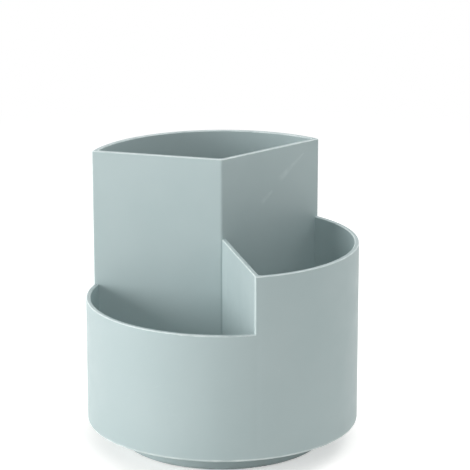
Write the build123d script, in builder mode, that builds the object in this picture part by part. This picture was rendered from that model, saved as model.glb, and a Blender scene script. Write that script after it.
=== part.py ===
from build123d import *
import os
from math import cos, radians, sin

os.makedirs("parts", exist_ok=True)

# All sizes are in millimetres. The desk is z = 0, the drum turns about the Z axis, and the
# divider between the low and the mid pocket points towards -Y.

# The drum: one moulding that holds the three pockets
drum_radius = 60.0
wall = 2.0
floor_thickness = 2.0
skirt_depth = 3.4
low_wall_height = 56.2
mid_wall_height = 81.3
tall_wall_height = 117.4
ridge_round = 1.6
corner_round = 1.5
floor_round = 0.8
rim_round = 0.55
lower_edge_round = 1.2
lower_edge_round_inside = 0.3

# Directions seen from above: the tall pocket takes a third of a turn, the divider the other two
pocket_angle = 120.0
tall_start = 30.0
tall_middle = tall_start + pocket_angle / 2
tall_end = tall_start + pocket_angle
divider_angle = 270.0

# Ribs and screw bosses under the drum's floor
rib_count = 12
rib_thickness = 1.2
rib_height = 2.6
rib_start_gap = 1.5
boss_height = 3.2
boss_wall = 2.2

# The base dish stands inside the drum's skirt, with a wide gap round it
base_gap = 13.0
base_wall = 2.0
base_floor = 2.4
base_lower_round = 1.0
base_rim_round = 0.5
rim_overlap = 1.0
race_height = 1.8
race_inset = 9.0
race_width = 7.0
hub_wall = 2.0
hub_gap = 0.4
base_rib_count = 6
base_rib_thickness = 1.2
base_rib_height = 1.4

# The rubber feet sit in round recesses under the base
foot_count = 4
foot_radius = 6.0
foot_thickness = 1.5
foot_stand = 0.5
foot_margin = 2.6
foot_fit = 0.1
foot_round = 0.4
foot_first_angle = 45.0

# The ball race between the base and the bearing plate
ball_count = 12
ball_diameter = 4.0
ball_play = 0.03
groove_depth = 0.6
groove_slack = 0.2
cage_margin = 0.4
cage_lift = 0.2
cage_headroom = 0.66
cage_pocket_fit = 0.15
cage_round = 0.3

# The bearing plate is screwed under the drum and turns on the balls
plate_thickness = 2.2
plate_gap = 2.0
plate_edge_round = 0.4
spigot_radius = 6.0
spigot_fit = 0.06

# The pivot screw and its washer hold the plate down on the balls
washer_lip = 2.6
washer_thickness = 1.0
washer_play = 0.1
washer_hole_fit = 0.3
washer_chamber_gap = 1.0
pivot_core_radius = 1.9
pivot_tip_gap = 0.96
pivot_head_radius = 3.5
pivot_head_height = 1.6
pilot_fit = 0.02
pilot_spare = 0.3

# The cap closes the hole under the pivot screw
cap_thickness = 0.9
cap_inset = 0.1
cap_ledge = 1.4
cap_fit = 0.1
cap_round = 0.3
cap_to_screw = 0.3

# Three screws hold the bearing plate to the drum
plate_screw_count = 3
plate_screw_core_radius = 1.4
plate_screw_tip_gap = 0.5
plate_screw_head_radius = 2.6
plate_screw_head_height = 1.4
plate_screw_hole_fit = 0.15
plate_screw_first_angle = 90.0

# Cross recess in the screw heads, as shares of the head it is cut in
cross_depth_share = 0.55
cross_length_share = 1.1
cross_width_share = 0.26
head_round_share = 0.45

# Heights above the desk, from the feet up
base_bottom = foot_stand
base_floor_top = base_bottom + base_floor
race_top = base_floor_top + race_height
ball_radius = ball_diameter / 2
ball_height = race_top - groove_depth + ball_play + ball_radius
plate_bottom = ball_height + ball_radius + ball_play - groove_depth
plate_top = plate_bottom + plate_thickness
floor_underside = plate_top + boss_height
floor_top = floor_underside + floor_thickness
drum_bottom = floor_underside - skirt_depth
low_rim = drum_bottom + low_wall_height
mid_rim = drum_bottom + mid_wall_height
tall_rim = drum_bottom + tall_wall_height
base_rim = drum_bottom + rim_overlap
hub_top = plate_bottom - hub_gap
cage_bottom = race_top + cage_lift
cage_top = plate_bottom - cage_headroom
plate_screw_tip = floor_underside - plate_screw_tip_gap

# The stack under the pivot: cap, screw head, washer, spigot
cap_seat = base_bottom + cap_inset + cap_thickness
pivot_head_bottom = cap_seat + cap_to_screw
washer_bottom = pivot_head_bottom + pivot_head_height
spigot_end = washer_bottom + washer_thickness
chamber_top = spigot_end + washer_play
pivot_tip = floor_underside - pivot_tip_gap

# Radii that follow from their neighbours
base_radius = drum_radius - wall - base_gap
plate_radius = base_radius - base_wall - plate_gap
race_radius = plate_radius - race_inset
race_inside = race_radius - race_width / 2
race_outside = race_radius + race_width / 2
groove_radius = ball_radius + groove_slack
washer_radius = spigot_radius + washer_lip
chamber_radius = washer_radius + washer_chamber_gap
cap_hole_radius = chamber_radius + cap_ledge
hub_radius = cap_hole_radius + hub_wall
plate_screw_circle = (hub_radius + race_inside) / 2
foot_circle = base_radius - foot_margin - foot_radius
boss_radius = plate_screw_core_radius + boss_wall

# Cutting shapes reach this far from the axis, well past the drum
reach = 4 * drum_radius

# Edges count as level with a height within this much
level_slack = 0.01


def along(angle, distance):
    """The point at this distance from the axis, in this direction seen from above."""
    return Vector(distance * cos(radians(angle)), distance * sin(radians(angle)))


def upright_at(part, point):
    """The upright edges of a part that stand over this point of the plan."""
    near = wall / 2
    return [
        edge
        for edge in part.edges().filter_by(Axis.Z)
        if abs(edge.center().X - point.X) < near and abs(edge.center().Y - point.Y) < near
    ]


def on_level(part, height):
    """The edges of a part that lie flat at this height."""
    return part.edges().filter_by_position(Axis.Z, height - level_slack, height + level_slack)


# Plan of the tall pocket's panels: two flats that meet in a rounded ridge on the axis
with BuildSketch() as tall_plan:
    with BuildLine():
        Polyline((0, 0), along(tall_start, reach), along(tall_end, reach), close=True)
    make_face()
    fillet(tall_plan.vertices().sort_by_distance((0, 0, 0))[0], ridge_round)

# Plan of the space inside the tall pocket, one wall in from the panels and from the outside
pocket_tip = along(tall_middle, wall / sin(radians(pocket_angle / 2)))
with BuildSketch() as tall_space:
    Circle(drum_radius - wall)
    with BuildLine():
        Polyline(
            pocket_tip,
            pocket_tip + along(tall_start, reach),
            pocket_tip + along(tall_end, reach),
            close=True,
        )
    make_face(mode=Mode.INTERSECT)
    fillet(tall_space.vertices(), corner_round)

# Plan of the low pocket, which is on the -X side of the divider
with BuildSketch() as low_space:
    Circle(drum_radius - wall)
    Rectangle(reach, 2 * reach, align=(Align.MAX, Align.CENTER), mode=Mode.INTERSECT)
    add(tall_plan.sketch, mode=Mode.SUBTRACT)

# Plan of the mid pocket, which is on the +X side and one wall away from the low pocket
with BuildSketch() as mid_space:
    Circle(drum_radius - wall)
    with Locations((wall, 0)):
        Rectangle(reach, 2 * reach, align=(Align.MIN, Align.CENTER), mode=Mode.INTERSECT)
    add(tall_plan.sketch, mode=Mode.SUBTRACT)
    fillet(mid_space.vertices().sort_by(Axis.Y)[0], corner_round)

# Drum: three open pockets over a hollow foot that covers the base
with BuildPart() as drum:
    # The full cylinder has its seam at the back, and its hollow foot has rounded lower edges
    with BuildSketch(Plane((0, 0, drum_bottom), x_dir=(0, 1, 0), z_dir=(0, 0, 1))):
        Circle(drum_radius)
    extrude(amount=tall_wall_height)
    with BuildSketch(Plane((0, 0, drum_bottom), x_dir=(0, 1, 0), z_dir=(0, 0, 1))):
        Circle(drum_radius - wall)
    extrude(amount=skirt_depth, mode=Mode.SUBTRACT)
    fillet(on_level(drum, drum_bottom).sort_by(SortBy.RADIUS)[-1], lower_edge_round)
    fillet(on_level(drum, drum_bottom).sort_by(SortBy.RADIUS)[0], lower_edge_round_inside)

    # Everything above the low rim and the mid rim is cut back to the tall pocket
    for rim, side in ((low_rim, Align.MAX), (mid_rim, Align.MIN)):
        with BuildSketch(Plane.XY.offset(rim)):
            Rectangle(reach, 2 * reach, align=(side, Align.CENTER))
            add(tall_plan.sketch, mode=Mode.SUBTRACT)
        extrude(amount=tall_rim, mode=Mode.SUBTRACT)

    # The pockets, each with a rounded edge round its floor
    for space, rim in ((low_space, low_rim), (mid_space, mid_rim), (tall_space, tall_rim)):
        with BuildPart(mode=Mode.PRIVATE) as pocket:
            add(space.sketch)
            extrude(amount=rim - floor_top)
            fillet(pocket.edges().group_by(Axis.Z)[0], floor_round)
        with Locations((0, 0, floor_top)):
            add(pocket.part, mode=Mode.SUBTRACT)

    # Rounded rims and upright corners, in one run so that they blend where they meet. The short
    # edges left out are where a rim ends against a taller wall.
    rim_edges = [edge for rim in (low_rim, mid_rim, tall_rim) for edge in on_level(drum, rim)]
    long_edges = [edge for edge in rim_edges if edge.length > 2 * wall]
    corners = [along(angle, drum_radius) for angle in (tall_start, tall_end, divider_angle)]
    corner_edges = [edge for corner in corners for edge in upright_at(drum, corner)]
    fillet(long_edges + corner_edges, rim_round)

    # Stiffening ribs under the floor, outside the base
    with BuildSketch(Plane.XY.offset(floor_underside - rib_height)):
        with PolarLocations(0, rib_count):
            with Locations((base_radius + rib_start_gap, 0)):
                Rectangle(
                    drum_radius - wall / 2 - base_radius - rib_start_gap,
                    rib_thickness,
                    align=(Align.MIN, Align.CENTER),
                )
    extrude(amount=rib_height)

    # Bosses for the screws of the bearing plate
    with BuildSketch(Plane.XY.offset(plate_top)):
        with PolarLocations(plate_screw_circle, plate_screw_count, plate_screw_first_angle):
            Circle(boss_radius)
    extrude(amount=boss_height)
    with BuildSketch(Plane.XY.offset(plate_top)):
        with PolarLocations(plate_screw_circle, plate_screw_count, plate_screw_first_angle):
            Circle(plate_screw_core_radius + pilot_fit)
    extrude(amount=plate_screw_tip + pilot_spare - plate_top, mode=Mode.SUBTRACT)

drum.part.label = "drum"
export_step(drum.part, "parts/drum.step")

# Bearing plate: the upper half of the ball race, with the spigot that turns in the base
with BuildPart() as bearing_plate:
    with BuildSketch(Plane.XY.offset(plate_bottom)):
        Circle(plate_radius)
    extrude(amount=plate_thickness)
    fillet(bearing_plate.edges().group_by(Axis.Z)[0], plate_edge_round)
    with BuildSketch(Plane.XY.offset(spigot_end)):
        Circle(spigot_radius)
    extrude(amount=floor_underside - spigot_end)
    with BuildSketch(Plane.XZ):
        with Locations((race_radius, plate_bottom + groove_depth - groove_radius)):
            Circle(groove_radius)
    revolve(axis=Axis.Z, mode=Mode.SUBTRACT)
    with BuildSketch(Plane.XY.offset(spigot_end)):
        Circle(pivot_core_radius + pilot_fit)
    extrude(amount=pivot_tip + pilot_spare - spigot_end, mode=Mode.SUBTRACT)
    with BuildSketch(Plane.XY.offset(plate_bottom)):
        with PolarLocations(plate_screw_circle, plate_screw_count, plate_screw_first_angle):
            Circle(plate_screw_core_radius + plate_screw_hole_fit)
    extrude(amount=plate_thickness, mode=Mode.SUBTRACT)

bearing_plate.part.label = "bearing_plate"
export_step(bearing_plate.part, "parts/bearing_plate.step")

# Base: a shallow dish with the hub that the drum turns on and the lower half of the ball race
with BuildPart() as base:
    with BuildSketch(Plane.XY.offset(base_bottom)):
        Circle(base_radius)
    extrude(amount=base_rim - base_bottom)
    fillet(base.edges().group_by(Axis.Z)[0], base_lower_round)
    with BuildSketch(Plane.XY.offset(base_floor_top)):
        Circle(base_radius - base_wall)
    extrude(amount=base_rim - base_floor_top, mode=Mode.SUBTRACT)
    fillet(on_level(base, base_rim), base_rim_round)

    # Race ring, with its groove
    with BuildSketch(Plane.XY.offset(base_floor_top)):
        Circle(race_outside)
        Circle(race_inside, mode=Mode.SUBTRACT)
    extrude(amount=race_height)
    with BuildSketch(Plane.XZ):
        with Locations((race_radius, race_top - groove_depth + groove_radius)):
            Circle(groove_radius)
    revolve(axis=Axis.Z, mode=Mode.SUBTRACT)

    # Hub, and ribs from the hub to the race ring
    with BuildSketch(Plane.XY.offset(base_floor_top)):
        Circle(hub_radius)
    extrude(amount=hub_top - base_floor_top)
    with BuildSketch(Plane.XY.offset(base_floor_top)):
        with PolarLocations(0, base_rib_count):
            with Locations(((hub_radius + race_inside) / 2, 0)):
                Rectangle(race_inside - hub_radius + base_rib_thickness, base_rib_thickness)
    extrude(amount=base_rib_height)

    # From below: the cap's seat, the chamber for washer and screw head, and the bore of the hub
    with BuildSketch(Plane.XY.offset(base_bottom)):
        Circle(cap_hole_radius)
    extrude(amount=cap_seat - base_bottom, mode=Mode.SUBTRACT)
    with BuildSketch(Plane.XY.offset(cap_seat)):
        Circle(chamber_radius)
    extrude(amount=chamber_top - cap_seat, mode=Mode.SUBTRACT)
    with BuildSketch(Plane.XY.offset(chamber_top)):
        Circle(spigot_radius + spigot_fit)
    extrude(amount=hub_top - chamber_top, mode=Mode.SUBTRACT)

    # Recesses for the feet
    with BuildSketch(Plane.XY.offset(base_bottom)):
        with PolarLocations(foot_circle, foot_count, foot_first_angle):
            Circle(foot_radius + foot_fit)
    extrude(amount=foot_thickness - foot_stand, mode=Mode.SUBTRACT)

base.part.label = "base"
export_step(base.part, "parts/base.step")

# Ball cage: a flat ring with a round pocket for each ball
with BuildPart() as ball_cage:
    with BuildSketch(Plane.XY.offset(cage_bottom)):
        Circle(race_outside - cage_margin)
        Circle(race_inside + cage_margin, mode=Mode.SUBTRACT)
    extrude(amount=cage_top - cage_bottom)
    fillet(ball_cage.edges(), cage_round)
    with BuildSketch(Plane.XY.offset(race_top)):
        with PolarLocations(race_radius, ball_count):
            Circle(ball_radius + cage_pocket_fit)
    extrude(amount=plate_bottom - race_top, mode=Mode.SUBTRACT)

ball_cage.part.label = "ball_cage"
export_step(ball_cage.part, "parts/ball_cage.step")

# Steel balls, one node each
for number, place in enumerate(PolarLocations(race_radius, ball_count), start=1):
    with BuildPart() as ball:
        with Locations(place.position + (0, 0, ball_height)):
            Sphere(ball_radius)
    ball.part.label = f"ball_{number}"
    export_step(ball.part, f"parts/ball_{number}.step")

# Rubber feet, one node each
for number, place in enumerate(PolarLocations(foot_circle, foot_count, foot_first_angle), start=1):
    with BuildPart() as foot:
        with BuildSketch(Plane(place.position)):
            Circle(foot_radius)
        extrude(amount=foot_thickness)
        fillet(foot.edges().group_by(Axis.Z)[0], foot_round)
    foot.part.label = f"foot_{number}"
    export_step(foot.part, f"parts/foot_{number}.step")

# Washer under the spigot
with BuildPart() as pivot_washer:
    with BuildSketch(Plane.XY.offset(washer_bottom)):
        Circle(washer_radius)
        Circle(pivot_core_radius + washer_hole_fit, mode=Mode.SUBTRACT)
    extrude(amount=washer_thickness)

pivot_washer.part.label = "pivot_washer"
export_step(pivot_washer.part, "parts/pivot_washer.step")

# Pivot screw: a pan head below, the shank up through the washer into the spigot
with BuildPart() as pivot_screw:
    with BuildSketch(Plane.XY.offset(pivot_head_bottom)):
        Circle(pivot_head_radius)
    extrude(amount=pivot_head_height)
    fillet(pivot_screw.edges().group_by(Axis.Z)[0], head_round_share * pivot_head_height)
    with BuildSketch(Plane.XY.offset(washer_bottom)):
        Circle(pivot_core_radius)
    extrude(amount=pivot_tip - washer_bottom)
    with BuildSketch(Plane.XY.offset(pivot_head_bottom)):
        with PolarLocations(0, 2, angular_range=180):
            Rectangle(cross_length_share * pivot_head_radius, cross_width_share * pivot_head_radius)
    extrude(amount=cross_depth_share * pivot_head_height, mode=Mode.SUBTRACT)

pivot_screw.part.label = "pivot_screw"
export_step(pivot_screw.part, "parts/pivot_screw.step")

# Cap over the screw: a plain disc that snaps in under the base
with BuildPart() as pivot_cap:
    with BuildSketch(Plane.XY.offset(cap_seat - cap_thickness)):
        Circle(cap_hole_radius - cap_fit)
    extrude(amount=cap_thickness)
    fillet(pivot_cap.edges().group_by(Axis.Z)[0], cap_round)

pivot_cap.part.label = "pivot_cap"
export_step(pivot_cap.part, "parts/pivot_cap.step")

# The three plate screws are alike and share one node
with BuildPart() as plate_screws:
    with BuildSketch(Plane.XY.offset(plate_bottom - plate_screw_head_height)):
        with PolarLocations(plate_screw_circle, plate_screw_count, plate_screw_first_angle):
            Circle(plate_screw_head_radius)
    extrude(amount=plate_screw_head_height)
    fillet(plate_screws.edges().group_by(Axis.Z)[0], head_round_share * plate_screw_head_height)
    with BuildSketch(Plane.XY.offset(plate_bottom)):
        with PolarLocations(plate_screw_circle, plate_screw_count, plate_screw_first_angle):
            Circle(plate_screw_core_radius)
    extrude(amount=plate_screw_tip - plate_bottom)
    with BuildSketch(Plane.XY.offset(plate_bottom - plate_screw_head_height)):
        with PolarLocations(plate_screw_circle, plate_screw_count, plate_screw_first_angle):
            with PolarLocations(0, 2, angular_range=180):
                Rectangle(
                    cross_length_share * plate_screw_head_radius,
                    cross_width_share * plate_screw_head_radius,
                )
    extrude(amount=cross_depth_share * plate_screw_head_height, mode=Mode.SUBTRACT)

plate_screws.part.label = "plate_screws"
export_step(plate_screws.part, "parts/plate_screws.step")
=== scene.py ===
import math

import bpy
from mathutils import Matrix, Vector

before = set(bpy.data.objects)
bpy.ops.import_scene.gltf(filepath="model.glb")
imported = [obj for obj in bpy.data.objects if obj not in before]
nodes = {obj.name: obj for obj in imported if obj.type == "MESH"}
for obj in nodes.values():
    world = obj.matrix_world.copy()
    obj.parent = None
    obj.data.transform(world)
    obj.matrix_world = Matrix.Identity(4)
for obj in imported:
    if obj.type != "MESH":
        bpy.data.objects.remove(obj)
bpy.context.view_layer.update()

print("frame loaded:", len(nodes), "CAD nodes")

toMillimetres = 1000  # from metres
beyond = 1000  # millimetres, past every edge of the part
softEdge, softWide = 0.2, 0.5  # millimetres that a mask takes to fade
# How far up a face looks that counts as flat, its fade, and more than straight up
flatFrom, flatFade, pastUp = 0.95, 0.03, 2
noiseDetail = 3.0  # octaves
noiseMiddle = (0.35, 0.65)  # stretches the middle of a noise, with flat ends
noiseWhole = (0.2, 0.8)  # keeps nearly all of a noise
mixShare, mixFirst, mixSecond = 0, 6, 7  # sockets of a Mix node that mixes colours


# sRGB hex, as a colour picker shows it, to the linear values of a colour socket
def hexColour(text):
    channels = [int(text[i:i + 2], 16) / 255 for i in (0, 2, 4)]
    linear = [c / 12.92 if c <= 0.04045 else ((c + 0.055) / 1.055) ** 2.4 for c in channels]
    return (*linear, 1.0)


# A texture's Scale for features of this size in millimetres, on coordinates in metres
def scaleOf(millimetres):
    return toMillimetres / millimetres


# Where a link starts: at the socket itself, or at a node's first output in use
def outputOf(source):
    if isinstance(source, bpy.types.Node):
        return next(output for output in source.outputs if output.enabled)
    return source


# One node with its links. A setting is one of the node's properties, or else a socket's value
def addNode(tree, kind, settings=None, links=None):
    node = tree.nodes.new("ShaderNode" + kind)
    for name, value in (settings or {}).items():
        if isinstance(name, str) and hasattr(node, name):
            setattr(node, name, value)
        else:
            node.inputs[name].default_value = value
    for socket, source in (links or {}).items():
        tree.links.new(outputOf(source), node.inputs[socket])
    return node


# An empty material with its shader and output, and the position on the part in metres
def newMaterial(name, shaderValues):
    material = bpy.data.materials.new(name)
    material.use_nodes = True
    tree = material.node_tree
    tree.nodes.clear()
    shader = addNode(tree, "BsdfPrincipled", shaderValues)
    addNode(tree, "OutputMaterial", links={"Surface": shader})
    where = addNode(tree, "TexCoord").outputs["Object"]
    return material, tree, shader, where


# Links colour, roughness and height in millimetres to the shader
def finishSkin(tree, shader, colour, rough, height):
    bump = addNode(tree, "Bump", {"Distance": 1 / toMillimetres}, {"Height": height})
    for socket, source in (("Base Color", colour), ("Roughness", rough), ("Normal", bump)):
        tree.links.new(outputOf(source), shader.inputs[socket])


# Noise of a real size in millimetres, with a range of it brought to low and high
def noiseBetween(tree, where, size, low, high, kept=noiseMiddle):
    grain = {"Scale": scaleOf(size), "Detail": noiseDetail}
    noise = addNode(tree, "TexNoise", grain, {"Vector": where})
    ends = {"From Min": kept[0], "From Max": kept[1], "To Min": low, "To Max": high}
    return addNode(tree, "MapRange", ends, {"Value": noise})


# Full strength where a value is between two edges, fading to 0 over a soft width on either side
def bandOf(tree, value, start, end, soft):
    half = (end - start) / 2
    off = addNode(tree, "Math", {"operation": "SUBTRACT", 1: start + half}, {0: value})
    off = addNode(tree, "Math", {"operation": "ABSOLUTE"}, {0: off})
    ends = {"From Min": half, "From Max": half + soft, "To Min": 1.0, "To Max": 0.0}
    return addNode(tree, "MapRange", {"interpolation_type": "SMOOTHSTEP", **ends}, {"Value": off})


# Product of several masks
def whereAll(tree, masks):
    product = masks[0]
    for mask in masks[1:]:
        product = addNode(tree, "Math", {"operation": "MULTIPLY"}, {0: product, 1: mask})
    return product


# A value with the same amount added wherever a mask is 1, for each mask and amount
def raisedBy(tree, value, masksAndAmounts):
    for mask, amount in masksAndAmounts:
        more = {"operation": "MULTIPLY_ADD", 1: amount}
        value = addNode(tree, "Math", more, {0: mask, 2: value})
    return value


# In millimetres: the place itself, how far it is from the turning axis, its turn in radians
# round that axis, and its height above the desk
def roundPlace(tree, where):
    enlarged = {"operation": "SCALE", "Scale": toMillimetres}
    place = addNode(tree, "VectorMath", enlarged, {0: where})
    parts = addNode(tree, "SeparateXYZ", links={0: place}).outputs
    turn = addNode(tree, "Math", {"operation": "ARCTAN2"}, {0: parts["Y"], 1: parts["X"]})
    flat = addNode(tree, "CombineXYZ", links={"X": parts["X"], "Y": parts["Y"]})
    radius = addNode(tree, "VectorMath", {"operation": "LENGTH"}, {0: flat})
    return place, radius, turn, parts["Z"]


# How far a place is from the nearest of several centres set evenly round the axis
def nearestCentre(tree, radius, turn, count, firstTurn, circle):
    step = 2 * math.pi / count
    off = addNode(tree, "Math", {"operation": "SUBTRACT", 1: math.radians(firstTurn)}, {0: turn})
    near = addNode(tree, "Math", {"operation": "WRAP", 1: step / 2, 2: -step / 2}, {0: off})
    along = addNode(tree, "Math", {"operation": "MULTIPLY", 1: circle}, {0: near})
    out = addNode(tree, "Math", {"operation": "SUBTRACT", 1: circle}, {0: radius})
    spot = addNode(tree, "CombineXYZ", links={"X": along, "Y": out})
    return addNode(tree, "VectorMath", {"operation": "LENGTH"}, {0: spot})


# Waves of this pitch along a distance, from -1 to 1
def wavesAlong(tree, distance, pitch):
    phase = addNode(tree, "Math", {"operation": "MULTIPLY", 1: 2 * math.pi / pitch}, {0: distance})
    return addNode(tree, "Math", {"operation": "SINE"}, {0: phase})


# Marks of the mould's ejector pins, kept to one face: a shallow disc with a fine raised ring
def pinMarks(tree, radius, turn, face, pins):
    away = nearestCentre(tree, radius, turn, pins["count"], pins["turn"], pins["circle"])
    edge, half = pins["radius"], pins["ringWidth"] / 2
    disc = bandOf(tree, away, -edge, edge, pins["fade"])
    ring = bandOf(tree, away, edge - half, edge + half, pins["fade"])
    return whereAll(tree, [disc, face]), whereAll(tree, [ring, face])


# How far a surface looks up, from -1 to 1
def facingUp(tree):
    normal = addNode(tree, "NewGeometry").outputs["Normal"]
    return addNode(tree, "SeparateXYZ", links={0: normal}).outputs["Z"]


# Injection-moulded polypropylene in pale sage. To the eye: an even, slightly chalky colour that
# drifts a little, and a matte skin from a spark-eroded mould, so highlights are broad and soft
sagePlastic = {
    "colour": "B0C1C2",
    "colourPaler": "B4C4C5",
    "cloudSize": 38,
    "grainSize": 0.7,  # the real grain is about 0.2 mm, drawn coarser so that it shows
    "grainHeight": 0.005,
    "roughness": (0.45, 0.56),
    "roughnessSize": 9,
    "ior": 1.49,
    # Short rub marks, lighter than the skin: stretched noise, kept where it is strongest
    "scuffAndReflectionColour": "CBD8D8",
    "scuffLength": 15,
    "scuffWidth": 0.8,
    "scuffTilt": 38,
    "scuffKept": (0.62, 0.74),
    "scuffPatch": 30,
    "scuffPatchKept": (0.52, 0.66),
    "scuffStrength": 0.16,
}

# What only the drum has. Lengths in millimetres, turns in degrees
drumMarks = {
    "bottom": 9.56,
    "floorHeight": 14.96,
    "floorReach": 1,
    "lowRim": 65.76,
    "midRim": 90.86,
    "outsideFrom": 59.5,
    # The rounded edges of the rims are painted paler, a painted highlight that is partly wear from
    # hands, and are smoother from that wear
    "highlightAndWearColour": "E0EBEB",
    "highlightAndWearPatch": 6,
    "highlightAndWearLeast": 0.45,
    "rubbedSmoother": 0.09,
    "rimSlant": (0.3, 0.93),
    "rimSlantFade": 0.06,
    "rimsFrom": 20.96,
    "rimsFade": 2,
    # So is its lowest edge outside: a painted highlight line, partly wear
    "lowestHeight": 0.9,
    "lowestFade": 0.5,
    "lowestFrom": 59,
    # The upright corner where the wall steps down gets a painted highlight: a paler line round this
    # spot
    "cornerSpot": (-0.7, -58.9, 0),
    "cornerHalf": 1.0,
    "cornerFade": 0.6,
    "cornerHighlightColour": "D3E0E0",
    "cornerPatch": 4,
    "cornerStrength": (0.6, 0.95),
    # Two painted reflections, pale streaks in the scuff colour high on the tall pocket's right flat:
    # start, end, half width at each
    "streaks": (
        ((43.5, 25.1, 121.7), (31.5, 18.2, 112.9), 0.4, 2.2),
        ((26.3, 15.2, 107.4), (21.4, 12.4, 103.8), 0.9, 1.5),
    ),
    # Its fade: across, as a share of that half width, and along, as a share of its length
    "streakCore": 0.2,
    "streakCoreFade": 0.9,
    "streakTo": 0.85,
    "streakToFade": 0.4,
    "streakPatch": 2.5,
    "streakStrength": (0.2, 0.5),
    # The skin sinks a little where an inner wall meets the outer one
    "sinkTurns": (30.95, 149.05, 270.95),
    "sinkWidth": 2.2,
    "sinkDepth": 0.07,
    "sinkFrom": 17.96,
    "sinkFade": 3,
    # Ejector pins on the pocket floors
    "pins": {
        "count": 9,
        "turn": 10,
        "circle": 34,
        "radius": 2.5,
        "ringWidth": 0.2,
        "fade": 0.15,
        "depth": 0.04,
        "paler": 0.35,
        "smoother": 0.08,
    },
}

# What only the base has
baseMarks = {
    "belowDesk": -1,
    "undersideTop": 4,  # its underside and the cap's lie below this height
    "turnPitch": 0.9,  # cutter marks of the mould are about 0.1 mm apart, drawn coarser to show
    "turnHeight": 0.003,
    "turnRougher": 0.06,
    # The lowest edge picks up grime from the desk
    "grimeColour": "8E9A99",
    "grimeHeight": 1.2,
    "grimeFrom": 44,
    "grimeFade": 1.5,
    "grimePatch": 5,
    "grimeStrength": (0.1, 0.5),
    "pins": {
        "count": 6,
        "turn": 0,
        "circle": 24,
        "radius": 2,
        "ringWidth": 0.2,
        "fade": 0.15,
        "depth": 0.04,
        "smoother": 0.08,
    },
}


# The plain skin of a moulded piece: colour, roughness and height in millimetres, not yet linked
def mouldedSkin(name, look):
    material, tree, shader, where = newMaterial(name, {"IOR": look["ior"]})
    two = {mixFirst: hexColour(look["colour"]), mixSecond: hexColour(look["colourPaler"])}
    cloud = noiseBetween(tree, where, look["cloudSize"], 0.0, 1.0)
    colour = addNode(tree, "Mix", {"data_type": "RGBA", **two}, {mixShare: cloud})
    rough = noiseBetween(tree, where, look["roughnessSize"], *look["roughness"])
    height = noiseBetween(tree, where, look["grainSize"], 0.0, look["grainHeight"], noiseWhole)
    tilt = math.radians(look["scuffTilt"])
    turned = addNode(tree, "Mapping", {"Rotation": (0, tilt, tilt)}, {"Vector": where})
    stretch = (look["scuffWidth"] / look["scuffLength"], 1, 1)
    drawn = addNode(tree, "Mapping", {"Scale": stretch}, {"Vector": turned})
    lines = noiseBetween(tree, drawn.outputs[0], look["scuffWidth"], 0.0, 1.0, look["scuffKept"])
    strength = (0.0, look["scuffStrength"], look["scuffPatchKept"])
    scuffs = whereAll(tree, [lines, noiseBetween(tree, where, look["scuffPatch"], *strength)])
    scuffAndReflectionMix = {"data_type": "RGBA", mixSecond: hexColour(look["scuffAndReflectionColour"])}
    colour = addNode(tree, "Mix", scuffAndReflectionMix, {mixShare: scuffs, mixFirst: colour})
    return material, tree, shader, where, colour, rough, height


# Where the drum is painted paler, a painted highlight that is partly wear: the rounded edges of its
# rims, and its lowest edge outside
def highlightAndWearEdges(tree, radius, level, marks):
    # Above the pocket floors, only those rounded edges look up at a slant
    slanted = bandOf(tree, facingUp(tree), *marks["rimSlant"], marks["rimSlantFade"])
    high = bandOf(tree, level, marks["rimsFrom"], beyond, marks["rimsFade"])
    rims = whereAll(tree, [slanted, high])
    top = marks["bottom"] + marks["lowestHeight"]
    low = bandOf(tree, level, 0, top, marks["lowestFade"])
    outer = bandOf(tree, radius, marks["lowestFrom"], beyond, softEdge)
    lowest = whereAll(tree, [low, outer])
    return addNode(tree, "Math", {"operation": "ADD"}, {0: rims, 1: lowest})


# Where the step's upright corner gets its painted highlight
def paintedCornerHighlight(tree, where, place, level, marks):
    off = addNode(tree, "VectorMath", {"operation": "SUBTRACT", 1: marks["cornerSpot"]}, {0: place})
    off = addNode(tree, "VectorMath", {"operation": "MULTIPLY", 1: (1, 1, 0)}, {0: off})
    away = addNode(tree, "VectorMath", {"operation": "LENGTH"}, {0: off})
    line = bandOf(tree, away, 0, marks["cornerHalf"], marks["cornerFade"])
    span = bandOf(tree, level, marks["lowRim"], marks["midRim"], softWide)
    patchy = noiseBetween(tree, where, marks["cornerPatch"], *marks["cornerStrength"])
    return whereAll(tree, [line, span, patchy])


# One streak, which widens from start to end and fades out there. How far off a place is, is
# measured from the nearest point of the line between the two
def streakMask(tree, place, marks, start, end, halfStart, halfEnd):
    way = Vector(end) - Vector(start)
    fromStart = addNode(tree, "VectorMath", {"operation": "SUBTRACT", 1: start}, {0: place})
    alongWay = {"operation": "DOT_PRODUCT", 1: way / way.length_squared}
    share = addNode(tree, "VectorMath", alongWay, {0: fromStart})
    share = addNode(tree, "Clamp", links={0: share})
    nearest = addNode(tree, "VectorMath", {"operation": "SCALE", 0: way}, {"Scale": share})
    off = addNode(tree, "VectorMath", {"operation": "DISTANCE"}, {0: fromStart, 1: nearest})
    half = addNode(tree, "MapRange", {"To Min": halfStart, "To Max": halfEnd}, {"Value": share})
    off = addNode(tree, "Math", {"operation": "DIVIDE"}, {0: off, 1: half})
    core = marks["streakCore"]
    across = bandOf(tree, off, -core, core, marks["streakCoreFade"])
    beforeStart = -1  # so that nothing fades at the start
    along = bandOf(tree, share, beforeStart, marks["streakTo"], marks["streakToFade"])
    return whereAll(tree, [across, along])


# The upright line, in this direction from the axis, where an inner wall makes the skin sink
def sinkLine(tree, place, direction, width):
    turn = math.radians(direction)
    across = {"operation": "DOT_PRODUCT", 1: (-math.sin(turn), math.cos(turn), 0)}
    outwards = {"operation": "DOT_PRODUCT", 1: (math.cos(turn), math.sin(turn), 0)}
    line = bandOf(tree, addNode(tree, "VectorMath", across, {0: place}), 0, 0, width)
    # Only on that side of the axis
    clearOfAxis = 1
    side = addNode(tree, "VectorMath", outwards, {0: place})
    side = bandOf(tree, side, clearOfAxis, beyond, clearOfAxis)
    return whereAll(tree, [line, side])


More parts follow.
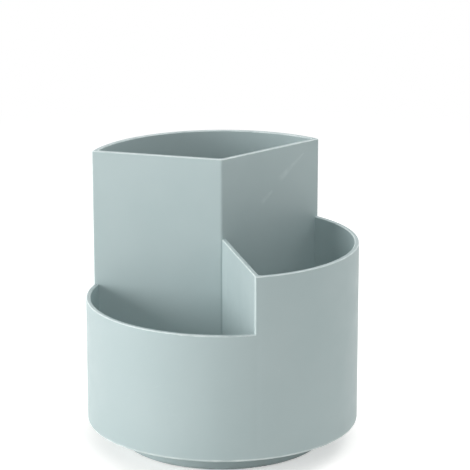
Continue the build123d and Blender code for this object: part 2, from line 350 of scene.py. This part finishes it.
def makeDrumPlastic(look, marks):
    material, tree, shader, where, colour, rough, height = mouldedSkin("sagePolypropyleneDrum", look)
    place, radius, turn, level = roundPlace(tree, where)
    outside = bandOf(tree, radius, marks["outsideFrom"], beyond, softEdge)
    highlightAndWearMix = {"data_type": "RGBA", mixSecond: hexColour(marks["highlightAndWearColour"])}
    cornerHighlight = {"data_type": "RGBA", mixSecond: hexColour(marks["cornerHighlightColour"])}
    scuffAndReflectionMix = {"data_type": "RGBA", mixSecond: hexColour(look["scuffAndReflectionColour"])}

    # Painted highlight, partly wear: the rims' rounded edges and the lowest edge outside are mixed
    # paler
    edges = highlightAndWearEdges(tree, radius, level, marks)
    highlightAndWearShare = noiseBetween(tree, where, marks["highlightAndWearPatch"], marks["highlightAndWearLeast"], 1.0)
    highlightAndWearShare = whereAll(tree, [edges, highlightAndWearShare])
    colour = addNode(tree, "Mix", highlightAndWearMix, {mixShare: highlightAndWearShare, mixFirst: colour})
    # Painted highlight: a paler line down the step's upright corner
    line = paintedCornerHighlight(tree, where, place, level, marks)
    colour = addNode(tree, "Mix", cornerHighlight, {mixShare: line, mixFirst: colour})

    # Painted reflections: the two pale streaks on the tall pocket's right flat
    patchy = noiseBetween(tree, where, marks["streakPatch"], *marks["streakStrength"])
    for streak in marks["streaks"]:
        streak = whereAll(tree, [streakMask(tree, place, marks, *streak), patchy])
        colour = addNode(tree, "Mix", scuffAndReflectionMix, {mixShare: streak, mixFirst: colour})

    high = bandOf(tree, level, marks["sinkFrom"], beyond, marks["sinkFade"])
    wall = whereAll(tree, [outside, high])
    sinks = [sinkLine(tree, place, turned, marks["sinkWidth"]) for turned in marks["sinkTurns"]]
    sinks = [whereAll(tree, [sink, wall]) for sink in sinks]
    height = raisedBy(tree, height, [(sink, -marks["sinkDepth"]) for sink in sinks])

    pins = marks["pins"]
    flat = bandOf(tree, facingUp(tree), flatFrom, pastUp, flatFade)
    pocketFloor, reach = marks["floorHeight"], marks["floorReach"]
    atFloor = bandOf(tree, level, pocketFloor - reach, pocketFloor + reach, softWide)
    disc, ring = pinMarks(tree, radius, turn, whereAll(tree, [flat, atFloor]), pins)
    pale = addNode(tree, "Math", {"operation": "MULTIPLY", 1: pins["paler"]}, {0: ring})
    colour = addNode(tree, "Mix", highlightAndWearMix, {mixShare: pale, mixFirst: colour})
    height = raisedBy(tree, height, [(disc, -pins["depth"]), (ring, pins["depth"])])
    rough = raisedBy(tree, rough, [(edges, -marks["rubbedSmoother"]), (disc, -pins["smoother"])])
    finishSkin(tree, shader, colour, rough, height)
    return material


def makeBasePlastic(look, marks):
    material, tree, shader, where, colour, rough, height = mouldedSkin("sagePolypropyleneBase", look)
    radius, turn, level = roundPlace(tree, where)[1:]
    grimy = {"data_type": "RGBA", mixSecond: hexColour(marks["grimeColour"])}

    low = bandOf(tree, level, marks["belowDesk"], marks["grimeHeight"], marks["grimeHeight"])
    rim = bandOf(tree, radius, marks["grimeFrom"], beyond, marks["grimeFade"])
    patchy = noiseBetween(tree, where, marks["grimePatch"], *marks["grimeStrength"])
    grime = whereAll(tree, [low, rim, patchy])
    colour = addNode(tree, "Mix", grimy, {mixShare: grime, mixFirst: colour})

    pins = marks["pins"]
    flat = bandOf(tree, facingUp(tree), -pastUp, -flatFrom, flatFade)
    low = bandOf(tree, level, marks["belowDesk"], marks["undersideTop"], softWide)
    underside = whereAll(tree, [flat, low])
    disc, ring = pinMarks(tree, radius, turn, underside, pins)
    waves = whereAll(tree, [wavesAlong(tree, radius, marks["turnPitch"]), underside])
    heights = [(waves, marks["turnHeight"]), (disc, -pins["depth"]), (ring, pins["depth"])]
    height = raisedBy(tree, height, heights)
    rough = raisedBy(tree, rough, [(disc, -pins["smoother"]), (underside, marks["turnRougher"])])
    finishSkin(tree, shader, colour, rough, height)
    return material


# Moulded pieces that nobody handles keep the plain skin
def makePlainPlastic(look):
    material, tree, shader, where, colour, rough, height = mouldedSkin("sagePolypropylenePlain", look)
    finishSkin(tree, shader, colour, rough, height)
    return material


# Acetal, moulded and unpainted: waxy white that lets a little light in, smooth but not glossy
acetalCage = {
    "colour": "E4E2DA",
    "colourGreased": "D6CFBC",  # thin grease from the balls
    "greaseSize": 7,
    "greaseStrength": 0.8,
    "roughness": (0.42, 0.3),  # dry and greased
    "flowSize": 3,
    "flowHeight": 0.01,
    "ior": 1.48,
    "depthOfLight": 0.001,  # metres
    "depthByColour": (1, 1, 0.9),  # shares for red, green and blue
    "depthShare": 0.15,
}


def makeAcetal(look):
    values = {
        "IOR": look["ior"],
        "Subsurface Weight": look["depthShare"],
        "Subsurface Radius": look["depthByColour"],
        "Subsurface Scale": look["depthOfLight"],
    }
    material, tree, shader, where = newMaterial("whiteAcetalMoulded", values)
    two = {mixFirst: hexColour(look["colour"]), mixSecond: hexColour(look["colourGreased"])}
    grease = noiseBetween(tree, where, look["greaseSize"], 0.0, look["greaseStrength"])
    colour = addNode(tree, "Mix", {"data_type": "RGBA", **two}, {mixShare: grease})
    rough = noiseBetween(tree, where, look["greaseSize"], *look["roughness"])
    height = noiseBetween(tree, where, look["flowSize"], 0.0, look["flowHeight"], noiseWhole)
    finishSkin(tree, shader, colour, rough, height)
    return material


# Bearing steel, ground and polished: mirror-like, with a faint oil film and hairline tracks
bearingSteel = {
    "colour": "D5D6D8",
    "colourFilm": "C2BFB4",
    "filmSize": 1.6,
    "roughness": (0.08, 0.2),
    "trackSize": 0.35,
    "trackHeight": 0.0006,
}

# Zinc-plated steel, turned: pale grey with a cool cast, dulled in patches, with turning rings
zincSteel = {
    "colour": "BCC0C4",
    "colourFilm": "A7A79F",
    "filmSize": 2.2,
    "roughness": (0.28, 0.42),
    "ringPitch": 0.35,  # the tool's marks are about 0.1 mm apart, drawn coarser to show
    "ringHeight": 0.003,
}


# Colour and roughness of a bare metal under its film, not yet linked
def metalSkin(name, look):
    material, tree, shader, where = newMaterial(name, {"Metallic": 1.0})
    two = {mixFirst: hexColour(look["colour"]), mixSecond: hexColour(look["colourFilm"])}
    film = noiseBetween(tree, where, look["filmSize"], 0.0, 1.0)
    colour = addNode(tree, "Mix", {"data_type": "RGBA", **two}, {mixShare: film})
    rough = noiseBetween(tree, where, look["filmSize"], *look["roughness"])
    return material, tree, shader, where, colour, rough


def makeBallSteel(look):
    material, tree, shader, where, colour, rough = metalSkin("bearingSteelPolished", look)
    height = noiseBetween(tree, where, look["trackSize"], 0.0, look["trackHeight"], noiseWhole)
    finishSkin(tree, shader, colour, rough, height)
    return material


# Turning rings round screws that stand evenly on a circle, or round the axis for a circle of 0
def makeScrewSteel(name, look, count, firstTurn, circle):
    material, tree, shader, where, colour, rough = metalSkin(name, look)
    radius, turn = roundPlace(tree, where)[1:3]
    away = nearestCentre(tree, radius, turn, count, firstTurn, circle)
    rings = wavesAlong(tree, away, look["ringPitch"])
    height = addNode(tree, "Math", {"operation": "MULTIPLY", 1: look["ringHeight"]}, {0: rings})
    finishSkin(tree, shader, colour, rough, height)
    return material


# Moulded rubber: near black grey, dull, with a little dust in its grain
footRubber = {
    "colour": "3E4142",
    "colourDusty": "5B5E5D",
    "dustSize": 3.5,
    "grainSize": 0.4,
    "grainHeight": 0.02,
    "roughness": (0.72, 0.88),
    "ior": 1.52,
}


def makeRubber(look):
    material, tree, shader, where = newMaterial("greyRubberMoulded", {"IOR": look["ior"]})
    two = {mixFirst: hexColour(look["colour"]), mixSecond: hexColour(look["colourDusty"])}
    dust = noiseBetween(tree, where, look["dustSize"], 0.0, 1.0)
    colour = addNode(tree, "Mix", {"data_type": "RGBA", **two}, {mixShare: dust})
    rough = noiseBetween(tree, where, look["dustSize"], *look["roughness"])
    height = noiseBetween(tree, where, look["grainSize"], 0.0, look["grainHeight"], noiseWhole)
    finishSkin(tree, shader, colour, rough, height)
    return material


drumPlastic = makeDrumPlastic(sagePlastic, drumMarks)
basePlastic = makeBasePlastic(sagePlastic, baseMarks)
ballSteel = makeBallSteel(bearingSteel)
pivotSteel = makeScrewSteel("zincPlatedSteelPivot", zincSteel, 1, 0, 0)
rubber = makeRubber(footRubber)

finishOf = {
    "drum": drumPlastic,
    "base": basePlastic,
    "bearing_plate": makePlainPlastic(sagePlastic),
    "pivot_cap": basePlastic,
    "ball_cage": makeAcetal(acetalCage),
    "pivot_screw": pivotSteel,
    "pivot_washer": pivotSteel,
    # Three screws, the first at 90 degrees, 20.75 mm from the turning axis
    "plate_screws": makeScrewSteel("zincPlatedSteelScrews", zincSteel, 3, 90, 20.75),
}
for name, node in nodes.items():
    finish = finishOf.get(name) or (rubber if name.startswith("foot_") else ballSteel)
    node.data.materials.clear()
    node.data.materials.append(finish)
print("materials made")


# The direction, as a unit vector, that a turn seen from above and a rise above the floor give
def directionOf(turn, rise):
    turnAngle, riseAngle = math.radians(turn), math.radians(rise)
    level = math.cos(riseAngle)
    return Vector((math.cos(turnAngle) * level, math.sin(turnAngle) * level, math.sin(riseAngle)))


# Puts a lamp or the camera away from a spot that it looks at
def lookFrom(data, spot, away, distance):
    item = bpy.data.objects.new(data.name, data)
    item.location = spot + away * distance
    item.rotation_euler = (-away).to_track_quat("-Z", "Y").to_euler()
    bpy.context.scene.collection.objects.link(item)
    return item


# Camera: a long lens, a little left of the divider and above the rims. Angles in degrees,
# lens and film in millimetres, the rest in metres
cameraSpot = {
    "turn": 256.36,
    "rise": 15.21,
    "distance": 1.019,
    "aimRight": 0.0056,
    "aimHeight": 0.09305,
    "lens": 178.1,
    "film": 36,
    "near": 0.05,
    "far": 60,
}
camera = bpy.data.cameras.new("camera")
camera.lens = cameraSpot["lens"]
camera.sensor_width = cameraSpot["film"]
camera.clip_start, camera.clip_end = cameraSpot["near"], cameraSpot["far"]
toRight = directionOf(cameraSpot["turn"] + 90, 0)
aim = toRight * cameraSpot["aimRight"] + Vector((0, 0, cameraSpot["aimHeight"]))
towardsCamera = directionOf(cameraSpot["turn"], cameraSpot["rise"])
bpy.context.scene.camera = lookFrom(camera, aim, towardsCamera, cameraSpot["distance"])
bpy.context.scene.view_settings.view_transform = "Standard"

# Floor: a pale sweep that carries the shadow near the part and goes white further off, in metres
floorLook = {"colour": "EDEDEB", "size": 12, "lift": 0.48, "whiteFrom": 0.25, "whiteTo": 0.7}
mesh = bpy.data.meshes.new("floor")
half = floorLook["size"] / 2
corners = [(-half, -half, 0), (half, -half, 0), (half, half, 0), (-half, half, 0)]
mesh.from_pydata(corners, [], [(0, 1, 2, 3)])
floor = bpy.data.objects.new("floor", mesh)
bpy.context.scene.collection.objects.link(floor)


# 1 for rays that should see the plain background: from the camera, a gloss or through glass
def backgroundRays(tree):
    rays = addNode(tree, "LightPath").outputs
    seen = {0: rays["Is Camera Ray"], 1: rays["Is Glossy Ray"]}
    seen = addNode(tree, "Math", {"operation": "MAXIMUM"}, seen)
    return addNode(tree, "Math", {"operation": "MAXIMUM"}, {0: seen, 1: rays["Is Transmission Ray"]})


floorMaterial = bpy.data.materials.new("paleFloor")
floorMaterial.use_nodes = True
tree = floorMaterial.node_tree
tree.nodes.clear()
matte = addNode(tree, "BsdfDiffuse", {"Color": hexColour(floorLook["colour"])})
rays = backgroundRays(tree)
lift = addNode(tree, "Math", {"operation": "MULTIPLY", 1: floorLook["lift"]}, {0: rays})
glow = addNode(tree, "Emission", links={"Strength": lift})
near = addNode(tree, "AddShader", links={0: matte, 1: glow})
spot = addNode(tree, "TexCoord").outputs["Object"]
off = addNode(tree, "VectorMath", {"operation": "LENGTH"}, {0: spot})
ends = {"From Min": floorLook["whiteFrom"], "From Max": floorLook["whiteTo"]}
farOff = addNode(tree, "MapRange", {"interpolation_type": "SMOOTHSTEP", **ends}, {"Value": off})
far = addNode(tree, "Emission", {"Strength": 1.0})
both = addNode(tree, "MixShader", links={0: whereAll(tree, [rays, farOff]), 1: near, 2: far})
addNode(tree, "OutputMaterial", links={"Surface": both})
mesh.materials.append(floorMaterial)

# World: dim white light all round, and plain white where it is seen
worldStrength = 0.3
world = bpy.data.worlds.new("studio")
bpy.context.scene.world = world
world.use_nodes = True
tree = world.node_tree
tree.nodes.clear()
white = hexColour("FFFFFF")
dim = addNode(tree, "Background", {"Color": white, "Strength": worldStrength})
full = addNode(tree, "Background", {"Color": white, "Strength": 1.0})
mix = addNode(tree, "MixShader", links={0: backgroundRays(tree), 1: dim, 2: full})
addNode(tree, "OutputWorld", links={"Surface": mix})

# Square soft boxes: name, turn and rise in degrees, watts
softBoxSize = 0.7
softBoxDistance = 1.3
softBoxAim = Vector((0, 0, 0.06))
softBoxes = [
    ("lowLeft", 181, 9, 13.7),
    ("overhead", 0, 88, 1.5),
    ("right", 20, 50, 5.3),
    ("front", 266, 35, 2.9),
    ("lowFront", 290, 3, 1.6),
    ("back", 100, 25, 3),
]
for name, turn, rise, watts in softBoxes:
    lamp = bpy.data.lights.new(name, "AREA")
    lamp.shape = "SQUARE"
    lamp.size = softBoxSize
    lamp.energy = watts
    lookFrom(lamp, softBoxAim, directionOf(turn, rise), softBoxDistance)
print("camera, floor and lights set")
